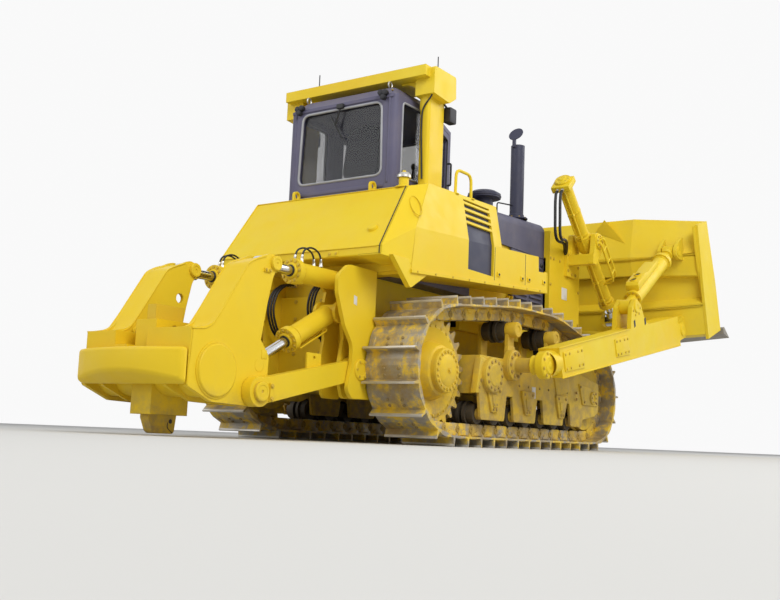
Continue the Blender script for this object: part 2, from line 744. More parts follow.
def bracket_fittings():
    """Pin covers, keepers, bolts and a blank label on the ripper bracket."""
    trim = Kit("bracket_trim", "ripper")
    ax, az = ARM_PIN
    trim.lathe((ax, EAR_OUTER_FACE - 1, az), OUT,
               [(105, 0), (105, 12), (98, 20), (60, 20), (56, 14), (0, 14)], 40)
    for x, z in (TILT_PIN, LIFT_PIN):
        trim.lathe((x, 656, z), OUT, PIN_RING, 32)
        trim.lathe((x, EAR_INNER - 11, z), IN, PIN_RING, 32)
        trim.block(x - 42, x + 42, 644, 660, z + 66, z + 96, 5)
    bolts = Kit("bracket_bolts", "bolt")
    bolts.bolt_ring((ax, EAR_OUTER_FACE + 18, az), OUT, 80, 6, 10)
    for z in range(520, 1601, 180):
        if abs(z - az) > 130:
            bolts.bolt((BRACKET_FACE - 60, 710, z), REAR, 15)
            bolts.bolt((BRACKET_FACE - 60, 170, z), REAR, 15)
    make_pairs(trim, bolts)
    label = Kit("blank_label", "white")
    label.plate_y([(-862, 1322), (-812, 1310), (-812, 1395), (-862, 1407)],
                  -EAR_OUTER_FACE - 2.5, -EAR_OUTER_FACE + 1, 0.8)
    label.done()


# Undercarriage

def pin_line():
    """Starts, directions and outward normals of the chain's links, as the part lays them out."""
    ground = PIN_TO_GROUND
    carrier = CARRIER_ROLL
    rounds = [(0.0, ground + SPROCKET_ROLL, SPROCKET_ROLL)]
    rounds += [(x, CARRIER_PIN - carrier, carrier) for x in CARRIER_XS]
    rounds += [(WHEELBASE, ground + IDLER_ROLL, IDLER_ROLL)]
    touch = []
    for (ax, az, ar), (bx, bz, br) in zip(rounds, rounds[1:] + rounds[:1]):
        gap = hypot(bx - ax, bz - az)
        normal = atan2(bz - az, bx - ax) + pi / 2 + asin((br - ar) / gap)
        touch.append((normal, (ax + ar * cos(normal), az + ar * sin(normal)),
                      (bx + br * cos(normal), bz + br * sin(normal))))
    pieces = []
    for i, (normal, leave, arrive) in enumerate(touch):
        following = touch[(i + 1) % len(touch)][0]
        cx, cz, radius = rounds[(i + 1) % len(rounds)]
        pieces.append(("run", leave, arrive, dist(leave, arrive)))
        pieces.append(("arc", (cx, cz, radius), normal, radius * ((normal - following) % (2 * pi))))
    step = sum(piece[3] for piece in pieces) / SHOE_COUNT
    pins = []
    for i in range(SHOE_COUNT):
        left = i * step
        for kind, first, second, length in pieces:
            if left <= length:
                break
            left -= length
        if kind == "run":
            share = left / length
            pins.append((first[0] + (second[0] - first[0]) * share, first[1] + (second[1] - first[1]) * share))
        else:
            a = second - left / first[2]
            pins.append((first[0] + first[2] * cos(a), first[1] + first[2] * sin(a)))
    links = []
    for here, after in zip(pins, pins[1:] + pins[:1]):
        pitch = dist(here, after)
        along = ((after[0] - here[0]) / pitch, (after[1] - here[1]) / pitch)
        links.append((here, along, (-along[1], along[0]), pitch))
    return links


def track_fittings():
    """Shoe bolts, pin ends, link sides, shoe ribs and worn tips of both tracks."""
    bolts = Kit("shoe_bolts", "shoe_bolt")
    pins = Kit("track_pins", "rail")
    sides = Kit("track_link_sides", "links")
    ribs = Kit("shoe_ribs", "shoes")
    tips = Kit("grouser_tips", "tips")
    middle = GAUGE / 2
    face = PIN_TO_SHOE + SHOE_THICKNESS
    rail = 3 - PIN_TO_RAIL
    link_side = ((0.10, rail), (0.90, rail), (0.97, rail + 20), (0.97, 30), (0.88, 70), (0.10, 70), (0.04, 30),
                 (0.04, rail + 20))
    link_waist = ((0.22, 62), (0.30, 34), (0.42, 14), (0.58, 14), (0.70, 34), (0.78, 62))
    tip = ((0.317, face + 62), (0.328, face + 85.5), (0.402, face + 85.5), (0.415, face + 62))
    rib = ((0.50, face - 1), (0.50, face + 7), (0.92, face + 7), (0.92, face - 1))
    for (px, pz), (ax, az), (ox, oz), pitch in pin_line():
        def place(share, out, y=0):
            return at(px + ax * share * pitch + ox * out, y, pz + az * share * pitch + oz * out)
        tips.slab([place(*p) for p in tip], middle - 304, middle + 304, 2)
        for y in (middle - 84, middle + 84):
            for share in (0.60, 0.84):
                bolts.bolt(place(share, face, y), (ox, 0, oz), 15, False)
        for sign in (-1, 1):
            y = middle + sign * RAIL_OUTER
            pins.lathe(place(0.0, 0, y), (0, sign, 0),
                       [(38, -1), (38, 7), (34, 11), (14, 11), (12, 5), (0, 5)], 18)
            for outline, proud in ((link_side, 5), (link_waist, 15)):
                sides.slab([place(*p) for p in outline], y - sign, y + sign * proud, 3)
        for y in (middle - 250, middle + 250):
            ribs.slab([place(*p) for p in rib], y - 16, y + 16, 3)
    make_pairs(bolts, pins, sides, ribs, tips)


def frame_fittings():
    """Covers, bolts, caps and a blank label on the outside of both track frames."""
    outer = GAUGE / 2 + FRAME_HALF + GUARD_THICK
    covers = Kit("bogie_covers", "frame")
    bolts = Kit("frame_bolts", "bolt_worn")
    caps = Kit("roller_caps", "frame")
    for x in (946, 1718, 2586):
        covers.plate_y([(x - 150, 640), (x + 150, 640), (x + 150, 600), (x + 62, 372), (x - 62, 372),
                        (x - 150, 600)], outer - 1, outer + 26, 8)
        covers.plate_y([(x - 75, 560), (x + 75, 560), (x + 40, 425), (x - 40, 425)], outer + 25, outer + 34, 4)
        for half, z in ((95, 600), (30, 455), (30, 405)):
            bolts.bolt((x - half, outer + 26, z), OUT, 12)
            bolts.bolt((x + half, outer + 26, z), OUT, 12)
    for i in range(7):
        x = ROLLER_FIRST + i * (ROLLER_LAST - ROLLER_FIRST) / 6
        caps.lathe((x, GAUGE / 2 + 142, ROLLER_Z), OUT,
                   [(62, 0), (62, 30), (54, 40), (26, 40), (22, 34), (0, 34)], 26)
        bolts.bolt_ring((x, GAUGE / 2 + 180, ROLLER_Z), OUT, 42, 4, 8, 45)
    covers.block(680, 2940, outer - 1, outer + 14, 925, 885, 5)
    covers.plate_y([(560, 560), (620, 560), (760, 900), (700, 940), (640, 940)], outer - 60, outer + 12, 6)
    for k in range(4):
        bolts.bolt((628 + 30 * k, outer + 12, 620 + 75 * k), OUT, 13)
    for x in (1500, 1720, 2000, 2230, 2480, 2740):
        bolts.bolt((x, outer + 14, 905), OUT, 11)
        bolts.bolt((x + 30, outer, 690), OUT, 11)
    covers.plate_y([(2380, 860), (2780, 860), (2820, 700), (2460, 640)], outer - 1, outer + 16, 8)
    covers.plate_y([(3080, 820), (3620, 760), (3640, 560), (3200, 560)], outer - 1, outer + 18, 8)
    for x, z in ((3120, 780), (3580, 720), (3600, 600), (3240, 600), (3000, 700), (3000, 620)):
        bolts.bolt((x, outer + 18, z), OUT, 13)
    covers.lathe((3480, outer + 17, 660), OUT, [(84, 0), (84, 14), (74, 24), (40, 24), (36, 14), (0, 14)], 32)
    bolts.bolt_ring((3480, outer + 40, 660), OUT, 58, 6, 9)
    covers.lathe((PIVOT_X, outer + 45, 760), OUT,
                 [(186, -2), (186, 10), (176, 20), (120, 22), (110, 30), (0, 30)], 44)
    bolts.bolt_ring((PIVOT_X, outer + 65, 760), OUT, 150, 12, 13)
    covers.lathe((TRUNNION[0], outer + 60, TRUNNION[1]), OUT,
                 [(165, -2), (165, 12), (152, 22), (95, 22), (82, 40)], 40)
    bolts.bolt_ring((TRUNNION[0], outer + 80, TRUNNION[1]), OUT, 128, 10, 15)
    for x in CARRIER_XS:
        covers.lathe((x, GAUGE / 2 + 150, CARRIER_Z + 2), OUT,
                     [(88, 0), (88, 120), (80, 132), (46, 132), (40, 124), (0, 124)], 36)
        covers.plate_y([(x - 105, 950), (x + 105, 950), (x + 78, 1120), (x - 78, 1120)],
                       GAUGE / 2 + 152, GAUGE / 2 + 200, 8)
        bolts.bolt((x - 62, GAUGE / 2 + 200, 990), OUT, 13)
        bolts.bolt((x + 62, GAUGE / 2 + 200, 990), OUT, 13)
    label = Kit("frame_label", "white")
    label.block(1835, 1925, outer - 1, outer + 3, 570, 700, 1)
    make_pairs(covers, bolts, caps, label)


def drive_fittings():
    """Hub covers of the final drives and idlers, and the sprocket segments' bolts."""
    z = PIN_TO_GROUND + SPROCKET_ROLL
    cover = Kit("hub_covers", "hub")
    cover.lathe((0, HUB_REACH, z), OUT,
                [(218, -3), (218, 10), (210, 16), (160, 16), (150, 24), (96, 34), (0, 34)], 56)
    bolts = Kit("hub_bolts", "bolt")
    bolts.bolt_ring((0, HUB_REACH + 16, z), OUT, 186, 20, 14)
    bolts.bolt((0, HUB_REACH + 34, z), OUT, 20)
    bolts.bolt_ring((0, GAUGE / 2 + 54, z), OUT, 445, 27, 13)
    hub = Kit("idler_hubs", "frame")
    hub.lathe((WHEELBASE, GAUGE / 2 + 140, PIN_TO_GROUND + IDLER_ROLL), OUT,
              [(150, 0), (150, 20), (120, 44), (70, 48), (0, 48)], 40)
    make_pairs(cover, bolts, hub)


# Blade, push frame and their cylinders

def make_raised_pairs(*kits):
    """Turns kits that are laid out with the blade on the ground, and makes them on both sides."""
    for kit in kits:
        kit.turned(at(TRUNNION[0], 0, TRUNNION[1]), BLADE_RAISE)
        kit.pair()


def blade_fittings():
    """Ribs, a corner fillet, edge bolts and pin caps on the blade."""
    ribs = Kit("blade_ribs", "blade", "blade")
    for z0, z1, x in ((1395, 1420, 5545), (655, 680, 5500), (1130, 1155, 5600)):
        ribs.plate_z([(x, -CENTRE_HALF), (x, CENTRE_HALF), (x + 60, CENTRE_HALF), (x + 60, -CENTRE_HALF)],
                     z0, z1, 3)
        end = x + 0.75 * WING_SWEEP
        for sign in (1, -1):
            ribs.plate_z([(x, sign * CENTRE_HALF), (end, sign * WING_END), (end + 60, sign * WING_END),
                          (x + 60, sign * CENTRE_HALF)], z0, z1, 3)
    ribs.pyramid([at(5840, 770, 1960), at(5766, 600, 1826), at(5664, 1090, 1640)], at(5720, 790, 2010))
    ribs.plate_y([(5770, 1800), (5770, 1200), (5850, 760), (5840, 1200), (5900, 1795)],
                 WING_END - 30, WING_END + 2, 6)
    for y in (LIFT_Y - 62, LIFT_Y + 62):
        ribs.plate_y([(5290, 560), (5500, 700), (5590, 700), (5590, 560)], y - 10, y + 10, 4)
    bolts = Kit("cutting_edge_bolts", "bolt_worn", "blade")
    for y in range(75, 2026, 150):
        ahead = max(0.0, (y - CENTRE_HALF) / (WING_END - CENTRE_HALF)) * WING_SWEEP
        for share in (0.58, 0.42, 0.74):
            bolts.lathe((6230 - 150 * share + ahead, y, 2 + 208 * share), (0.81, 0, 0.585),
                        [(26, -2), (26, 3), (20, 5), (0, 5)], 12)
    caps = Kit("blade_pin_caps", "paint", "blade")
    for (x, z), y, sign in ((BRACE_LUG, BRACE_Y + 136, 1), (LIFT_LUG, LIFT_Y + 131, 1),
                            (LIFT_LUG, LIFT_Y - 131, -1)):
        caps.lathe((x, y, z), (0, sign, 0), [(74, -3), (74, 8), (66, 15), (34, 15), (30, 10), (0, 10)], 32)
    make_raised_pairs(ribs, bolts, caps)


def on_arm(x, up):
    """A place above or below the centre line of a push arm, on its side view."""
    slope = (ARM_END[1] - TRUNNION[1]) / (ARM_END[0] - TRUNNION[0])
    return x, TRUNNION[1] + (x - TRUNNION[0]) * slope + up


def push_fittings():
    """Wear plates, flanges, pin covers, bolts and slots on the push arms and pedestals."""
    kit = Kit("arm_trim", "paint", "push_frame")
    for x0, x1 in ((1560, 2060), (3000, 3420)):
        kit.plate_y([on_arm(x0, 110), on_arm(x1, 125), on_arm(x1, -125), on_arm(x0, -110)],
                    ARM_FACE, ARM_FACE + 13, 5)
    for end, sign, proud in ((3500, 1, (175, 198, 182, 158)), (5200, -1, (175, 208, 192, 158))):
        kit.plate_y([on_arm(x, sign * up) for x, up in zip((1470, end, end, 1470), proud)],
                    ARM_FACE - 4, ARM_FACE + 11, 3)
    kit.lathe((TRUNNION[0], 1747.5, TRUNNION[1]), OUT,
              [(150, -20), (150, 60), (140, 74), (105, 80), (90, 96), (0, 96)], 44)
    kit.lathe((BRACE_FOOT[0], ARM_FACE, BRACE_FOOT[1]), OUT,
              [(78, 0), (78, 9), (70, 15), (34, 15), (30, 10), (0, 10)], 36)
    kit.lathe((ARM_END[0], ARM_FACE, ARM_END[1]), OUT,
              [(82, 0), (82, 9), (74, 16), (34, 16), (30, 10), (0, 10)], 36)
    bolts = Kit("arm_bolts", "bolt", "push_frame")
    bolts.bolt_ring((TRUNNION[0], 1825.5, TRUNNION[1]), OUT, 126, 8, 13)
    for x in (1600, 1700, 1920, 2020, 3040, 3140, 3280, 3380):
        for up in (80, -80):
            px, pz = on_arm(x, up)
            bolts.bolt((px, ARM_FACE + 12, pz), OUT, 12)
    for dx, dz in ((-115, -30), (115, -40), (-60, -95), (60, -100)):
        bolts.bolt((BRACE_FOOT[0] + dx, ARM_FACE, BRACE_FOOT[1] + dz), OUT, 12)
    slots = Kit("pedestal_slots", "dark", "push_frame")
    for x in (3700, 4060):
        px, pz = on_arm(x, 250)
        slots.plate_y([(px - 26, pz - 55), (px - 26, pz + 30), (px + 26, pz + 45), (px + 26, pz - 40)],
                      ARM_FACE, ARM_FACE + 3, 1)
    make_raised_pairs(kit, bolts, slots)


def raised(place):
    """Where a place on the push frame's side view lies once the blade is raised."""
    dx = place[0] - TRUNNION[0]
    dz = place[1] - TRUNNION[1]
    angle = radians(BLADE_RAISE)
    return (TRUNNION[0] + dx * cos(angle) - dz * sin(angle), TRUNNION[1] + dx * sin(angle) + dz * cos(angle))


def brace_fittings():
    """Gland, collars, top cover and wipers of the blade's pitch cylinders."""
    line = Axis(raised(BRACE_FOOT), raised(BRACE_LUG), BRACE_Y)
    gland = line.length - 330
    bolts = Kit("brace_gland_bolts", "bolt", "brace_barrels")
    bolts.bolt_ring(line.place(gland), line.along, 112, 12, 12)
    bolts.bolt_ring(line.place(233), -line.along, 92, 10, 10)
    trim = Kit("brace_trim", "paint", "brace_barrels")
    trim.lathe(line.place(gland - 1), line.along, [(62, 0), (92, 0), (92, 10), (84, 20), (62, 20)], 32)
    trim.lathe(line.place(gland - 105), line.along, [(103, -6), (114, 0), (114, 16), (103, 22)], 36)
    trim.lathe(line.place(236), line.along, [(103, -4), (116, 2), (116, 26), (103, 34)], 36)
    cover = ((300, 96), (1130, 96), (1130, 150), (1080, 172), (700, 176), (640, 200), (340, 200), (300, 170))
    trim.slab([line.place(*p) for p in cover], -88, 88, 14)
    holes = Kit("brace_cover_holes", "dark", "brace_barrels")
    for s in (400, 560):
        trim.lathe(line.place(s, 196), line.up, [(46, 0), (46, 22), (38, 22), (36, 8), (0, 8)], 28)
        holes.lathe(line.place(s, 204), line.up, [(34, 0), (34, 2), (0, 2)], 24)
    wiper = Kit("brace_wipers", "black", "brace_barrels")
    wiper.lathe(line.place(gland), line.along, [(61.5, 0), (74, 0), (70, 30), (61.5, 30)], 32)
    make_pairs(bolts, trim, holes, wiper)


def lift_fittings():
    """Collars, clamps, pipes, bolts and wipers of the blade lift cylinders."""
    line = Axis(YOKE, raised(LIFT_LUG), LIFT_Y, -1)
    place = line.place
    trim = Kit("lift_trim", "paint", "blade_lift_barrels")
    trim.lathe(place(-1018), -line.along, [(108, -4), (108, 6), (98, 16), (56, 18), (44, 34), (0, 34)], 36)
    trim.lathe(place(94), line.along, BARREL_BAND, 36)
    trim.lathe(place(-94), -line.along, BARREL_BAND, 36)
    trim.lathe(place(1088), line.along, [(47, 0), (76, 0), (76, 12), (66, 20), (47, 20)], 32)
    trim.lathe(place(985), line.along, [(86, -6), (98, 0), (98, 18), (86, 24)], 36)
    trim.slab([place(s, h) for s, h in ((-1004, -104), (-912, -104), (-912, 150), (-1004, 150))], -128, 128, 14)
    for s in (-520, -160, 250, 620, 930):
        trim.lathe(place(s), line.along, [(86, -14), (93, -12), (93, 12), (86, 14)], 32)
        trim.slab([place(s + ds, h) for ds, h in ((-14, 88), (14, 88), (10, 128), (-10, 128))], -44, 44, 3)
    pipes = Kit("lift_pipes", "paint", "blade_lift_barrels")
    for radius, y, route in ((13, -30, ((-910, 118), (-640, 118), (-210, 118))),
                             (13, 30, ((-910, 118), (-640, 118), (960, 118), (1010, 100), (1010, 60))),
                             (11, -30, ((210, 118), (960, 118), (1010, 100), (1010, 60)))):
        pipes.tube([place(s, h, y) for s, h in route], radius)
    bolts = Kit("lift_bolts", "bolt", "blade_lift_barrels")
    bolts.bolt_ring(place(-1024), -line.along, 84, 8, 12)
    bolts.bolt_ring(place(1089), line.along, 94, 12, 11)
    wiper = Kit("lift_wipers", "black", "blade_lift_barrels")
    wiper.lathe(place(1090), line.along, [(46.5, 0), (60, 0), (56, 28), (46.5, 28)], 32)
    nuts = Kit("lift_hose_fittings", "silver", "blade_lift_barrels")
    for y in (-34, 34):
        nuts.lathe(place(-960, 149, y), line.up, [(24, 0), (24, 14), (19, 18), (19, 34), (16, 38)], 6)
    make_pairs(trim, pipes, bolts, wiper, nuts)
    lift_hoses(line)
    step_rail(line)


def lift_hoses(line):
    """Two hoses a side from the guard to the top of the cylinder, which bend as it swings."""
    hoses = Kit("lift_hoses", "black", None)
    low = at(3900, 0, 2600)
    drop = Vector(UP)
    back = line.up
    for y, shift in ((946, 0.0), (1014, 0.07)):
        head = line.place(-960, 182, y - LIFT_Y)
        hoses.tube([head, head + back * 0.05, head + back * 0.07 - drop * 0.10, head + back * 0.05 - drop * 0.62,
                    Vector((low.x - 0.30 - shift, (y - 60) / 1000, low.z + 0.12 + shift * 0.4)),
                    Vector((low.x - 0.10, 0.80 + shift * 0.4, low.z + 0.06)), Vector((low.x, 0.76, low.z))],
                   19, 12, 260)
    piece = hoses.pair()
    tuple(line.place(-960, 182))
    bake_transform(piece)


def step_rail(line):
    """A small ladder on each lift barrel, and the caps and bolts of the yokes."""
    rail = Kit("lift_step_rail", "paint", "blade_lift_barrels")
    for h in (-62, 62):
        rail.tube([line.place(*p) for p in ((0, h * 0.4, 196), (0, h, 252), (640, h, 252), (700, h * 0.5, 80))],
                  15, 12, 80)
    for s in (120, 320, 520):
        rail.tube([line.place(s, -62, 252), line.place(s, 62, 252)], 12, 10, 5)
    x, z = YOKE
    caps = Kit("yoke_caps", "paint")
    caps.lathe((x, 1179, z), OUT, [(105, 0), (105, 14), (96, 22), (52, 22), (48, 14), (0, 14)], 40)
    ring = Kit("yoke_bolts", "bolt")
    ring.bolt_ring((x, 1199, z), OUT, 76, 8, 12)
    for dx, dz in ((-170, -400), (-60, -440), (60, -440), (-170, -180), (60, -160)):
        ring.bolt((x + dx, 816, z + dz), OUT, 16)
    make_pairs(rail, caps, ring)


# Body

def rounded_frame(kit, corners, radius, bend):
    """A closed bead round a window, from a middle of one side back to it."""
    middle = (corners[-1] + corners[0]) / 2
    kit.tube([middle] + corners + [middle], radius, 10, bend)


def door_wall(s, z, out, sign):
    """A place on the slanted wall of the cab that holds a door."""
    rear = Vector((560.0, 722.0))
    along = (Vector((1330.0, 480.0)) - rear).normalized()
    p = rear + along * s + Vector((-along.y, along.x)) * out
    return at(p.x, sign * p.y, z)


def cab_doors():
    """Glass, seal and handle of both cab doors."""
    length = hypot(770, 242)
    outline = [(154, 2874), (length - 174, 2874), (length - 174, 3526), (154, 3526)]
    handle = ((2990, 0), (2990, 44), (3250, 44), (3250, 0))
    for side, sign in SIDES:
        pane = Kit("cab_door_glass_" + side, "glass", "cab_door_" + side)
        pane.prism(outline, lambda p: door_wall(*p, -18, sign), lambda p: door_wall(*p, -26, sign), 0)
        trim = Kit("cab_door_trim_" + side, "black", "cab_door_" + side)
        rounded_frame(trim, [door_wall(s, z, 1, sign) for s, z in outline], 9, 40)
        trim.tube([door_wall(length - 140, z, out, sign) for z, out in handle], 12, 10, 40)
        make(pane, trim)


def cab_glass():
    """Panes, seals and wipers of the cab's windows, and its doors' fittings."""
    glass = Kit("cab_glass", "glass")
    glass.plate_x([(-572, 2784), (-546, 3596), (546, 3596), (572, 2784)], -146, -138, 0)
    glass.plate_x([(-416, 2784), (-416, 3596), (416, 3596), (416, 2784)], 1288, 1296, 0)
    for sign in (1, -1):
        glass.plate_y([(-46, 2784), (-46, 3596), (476, 3596), (476, 2784)], sign * 690, sign * 698, 0)
    glass.done()
    cab_doors()
    seal = Kit("window_seals", "seal")
    for x, low, high, radius, bend in ((-170, 565, 540, 13, 90), (1330, 410, 410, 11, 50)):
        rounded_frame(seal, [at(x, -low, 2790), at(x, -high, 3590), at(x, high, 3590), at(x, low, 2790)],
                      radius, bend)
    for y in (722, -722):
        rounded_frame(seal, [at(-40, y, 2790), at(-40, y, 3590), at(470, y, 3590), at(470, y, 2790)], 11, 50)
    wipers = Kit("window_wipers", "black")
    wipers.tube([(-178, 0, 3600), (-200, 0, 3585), (-200, 60, 3400)], 9, 8, 30)
    wipers.tube([(-188, -40, 3250), (-188, 130, 3520)], 8, 8, 5)
    wipers.block(-215, -172, -45, 45, 3585, 3640, 12)
    wipers.tube([(1338, 0, 3585), (1352, 0, 3540), (1352, -130, 3330)], 8, 8, 30)
    make(seal, wipers)


def cushion(name, size, place, tilt):
    """A crowned pad whose sides pull in between its corners, with piping round its rim."""
    mesh = bmesh.new()
    bmesh.ops.create_cube(mesh, size=2.0)
    bmesh.ops.subdivide_edges(mesh, edges=list(mesh.edges), cuts=9, use_grid_fill=True)
    for v in mesh.verts:
        x, y, z = v.co
        edge = (1 - abs(x) ** 4) * (1 - abs(y) ** 4)
        pull = 0.05 * (1 - min(1.0, abs(z)) ** 2)
        channel = 0.10 * exp(-((abs(y) - 0.42) / 0.07) ** 2) * (1 if z > 0.9 else 0)
        v.co.x = x * (1 - 0.06 * (abs(y) ** 4) - pull * (1 - abs(y)))
        v.co.y = y * (1 - 0.06 * (abs(x) ** 4) - pull * (1 - abs(x)))
        v.co.z = z * (0.72 + 0.28 * edge) - channel
    turn = Matrix.Rotation(radians(tilt), 3, "Y")
    for v in mesh.verts:
        local = Vector((v.co.x * size[0], v.co.y * size[1], v.co.z * size[2])) / 2000
        v.co = place + turn @ local
    data = smooth_mesh(name, mesh)
    data.materials.append(MATERIALS["seat"])
    piece = add_object(name, data)
    soft = piece.modifiers.new("soft", "SUBSURF")
    soft.levels = 1
    soft.render_levels = 1
    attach(piece, "root")


def cab_inside():
    """Seat with its cushions, side consoles, dashboard, levers and pedals."""
    base = Kit("seat_base", "dark")
    base.block(405, 755, -175, 175, 2622, 2795, 20)
    base.block(330, 800, -215, 215, 2790, 2812, 8)
    frame_piece = base.done()
    cushion("seat_cushion", (500, 500, 120), at(590, 0, 2870), 3)
    cushion("seat_back", (110, 470, 690), at(262, 0, 3205), 8)
    for side, sign in reversed(SIDES):
        cushion("arm_rest_" + side, (330, 75, 60), at(600, sign * 300, 3010), 0)
    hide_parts("cab_seat")
    console = Kit("cab_console", "dark")
    console.block(380, 860, 270, 420, 2622, 2960, 30)
    console.block(380, 860, -420, -270, 2622, 2960, 30)
    console.plate_y([(980, 2622), (1180, 2622), (1240, 3120), (1120, 3160), (1060, 3050)], -300, 300, 25)
    for y, x in ((330, 800), (-330, 800), (-370, 700)):
        console.tube([(x, y, 2950), (x + 20, y, 3090)], 14, 12, 10)
        console.lathe((x + 20, y, 3080), (0.1, 0, 1), [(0, -4), (20, 0), (30, 20), (30, 50), (18, 72), (0, 78)])
    console.block(1010, 1100, -190, -70, 2640, 2660, 6)
    console.block(1010, 1100, 70, 190, 2640, 2660, 6)
    console.done()


def top_fittings():
    """Cab trim, rings and bolts of stack and pre-cleaner, the rod between them, and hand rails."""
    grey = Kit("cab_trim", "cab")
    for y in (640, -640):
        grey.tube([(-165, y, 2700), (-165, y, 3650)], 16)
    grey.block(-176, -160, -600, 600, 2655, 2700, 5)
    grey.block(-182, -150, -690, 690, 3618, 3650, 6)
    grey.block(120, 420, -230, 230, 3766, 3800, 20)
    stack = Kit("stack_trim", "stack")
    stack.lathe((*STACK, 2944), UP, [(146, 0), (146, 16), (100, 22), (98, 60), (92, 66)], 40)
    stack.lathe((*CLEANER, 2902), UP, [(150, 0), (150, 14), (114, 22), (109, 40)], 40)
    stack.lathe((*CLEANER, 3086), UP, [(205, -6), (212, -4), (212, 5), (205, 8)], 48)
    bolts = Kit("top_bolts", "bolt")
    bolts.bolt_ring((*STACK, 2960), UP, 124, 8, 11)
    bolts.bolt_ring((*CLEANER, 2916), UP, 132, 8, 10)
    for x, half in ((-130, 640), (480, 640), (1280, 420)):
        bolts.bolt((x, half, 3710), UP, 9)
        bolts.bolt((x, -half, 3710), UP, 9)
    rod = Kit("stack_rod", "dark")
    rod.tube([(2530, -450, 2912), (2530, -450, 3088), (2872, -476, 3120)], 9, 10, 40)
    rails = Kit("rail_and_eyes", "paint")
    front = ((2440, 2120), (2502, 2120), (2502, 1900), (2440, 1900))
    for sign in (1, -1):
        y = sign * 1085
        rails.tube([(480, y, 2672), (486, y, 2945), (800, y, 2948), (806, y, 2684)], 17, 12, 90)
        rails.tube([(x, sign * 1180, z) for x, z in front], 12, 12, 30)
        for x in (480, 806):
            rails.lathe((x, y, 2668 + 0.035 * (x - 480)), UP, [(42, 0), (42, 10), (20, 14)])
    make(grey, stack, bolts, rod, rails)


def roll_bar_fittings():
    """Foot plates and bolts of the roll bar, lamps, lifting eyes, aerials and the cable on a post."""
    foot = 2645 + 0.035 * 780
    bolts = Kit("rops_bolts", "bolt")
    plates = Kit("rops_feet", "paint")
    plates.block(60, 540, 760, 985, foot - 4, foot + 24, 5)
    for x in (90, 200, 300, 400, 510):
        bolts.bolt((x, 785, foot + 24), UP, 16)
        bolts.bolt((x, 960, foot + 24), UP, 16)
    make_pairs(bolts, plates)
    lamps = Kit("rear_lamps", "dark")
    rings = Kit("lifting_eyes", "silver")
    for sign in (1, -1):
        for y, z in ((600, 3668), (542, 3674), (576, 3624)):
            lamps.lathe((-172, sign * y, z), REAR,
                        [(24, -4), (30, 8), (34, 30), (30, 52), (20, 58), (0, 58)], 18)
        rings.tube([(-60 + 34 * cos(radians(a)), sign * 560, 3800 + 34 * sin(radians(a)))
                    for a in range(-60, 241, 20)], 8, 10, 8)
        lamps.block(462, 600, *sorted((sign * 905, sign * 1000)), 3480, 3650, 18)
        lamps.tube([(400, sign * 925, 3700), (470, sign * 950, 3640)], 12, 10, 10)
    for x, y in ((100, 557), (280, -938)):
        lamps.tube([(x, y, 3960), (x, y, 4160)], 6, 8, 5)
        lamps.lathe((x, y, 3985), UP, [(20, 0), (20, 16), (11, 26), (8, 40)], 16)
    cable = Kit("post_cable", "black")
    route = ((-1012, 3960), (-992, 3690), (-856, 3560), (-852, 3300), (-880, 2780))
    cable.tube([(128, y, z) for y, z in route], 9, 10, 90)
    make(lamps, rings, cable)


def box_low_edge(x):
    """Height of the lower edge of a side box, which rises to the front."""
    return 1660 + 0.07 * (x + 480)


def body_fittings():
    """Bolts, seams, latches and blank plates on the radiator guard and the side boxes."""
    plates = Kit("blank_plates", "white")
    for x, z, half in ((3853, 2076, 80), (3929, 2555, 60)):
        plates.block(x - half, x + half, 774, 779, z - half, z + half, 1)
    trim = Kit("body_trim", "paint")
    seams = Kit("body_seams", "dark")
    bolts = Kit("body_bolts", "bolt")
    for x in (3430, 3520, 3700, 3900, 4100, 4290):
        for z in (900, 1250, 1700, 2150, 2500):
            if x in (3430, 4290) or z in (900, 2500):
                bolts.bolt((x, 775, z), OUT, 15)
    for x in range(-380, 2261, 330):
        bolts.bolt((x, 1213, box_low_edge(x) + 18), OUT, 9)
    for x in (1170, 1900):
        seams.block(x, x + 8, 1200, 1201.5, box_low_edge(x) + 60, 2106 + 0.06 * (x + 480), 0)
    for x in (1260, 1820, 1990, 2380):
        z = box_low_edge(x) + 130
        trim.block(x - 30, x + 30, 1199, 1212, z - 26, z + 26, 5)
        seams.lathe((x, 1211, z), OUT, [(14, 0), (14, 6), (10, 9), (0, 9)], 18)
    make_pairs(plates, trim, seams, bolts)


def engine_door_fittings():
    """Louvres and latches of both engine doors."""
    for side, sign in SIDES:
        face = sign * 689
        louvres = Kit("engine_louvres_" + side, "grey", "engine_door_" + side)
        for x in (2600, 3000):
            for z in range(1860, 2325, 58):
                louvres.plate_x([(face, z), (face, z + 34), (sign * 712, z + 10), (sign * 712, z)], x, x + 320, 2)
        latch = Kit("engine_latches_" + side, "black", "engine_door_" + side)
        for z in (1800, 2380):
            latch.lathe((3330, face, z), (0, sign, 0), [(34, 0), (34, 8), (26, 13), (0, 13)], 24)
            latch.tube([(3330, sign * 700, z), (3330, sign * 716, z), (3330, sign * 716, z - 60)], 7, 8, 10)
        make(louvres, latch)


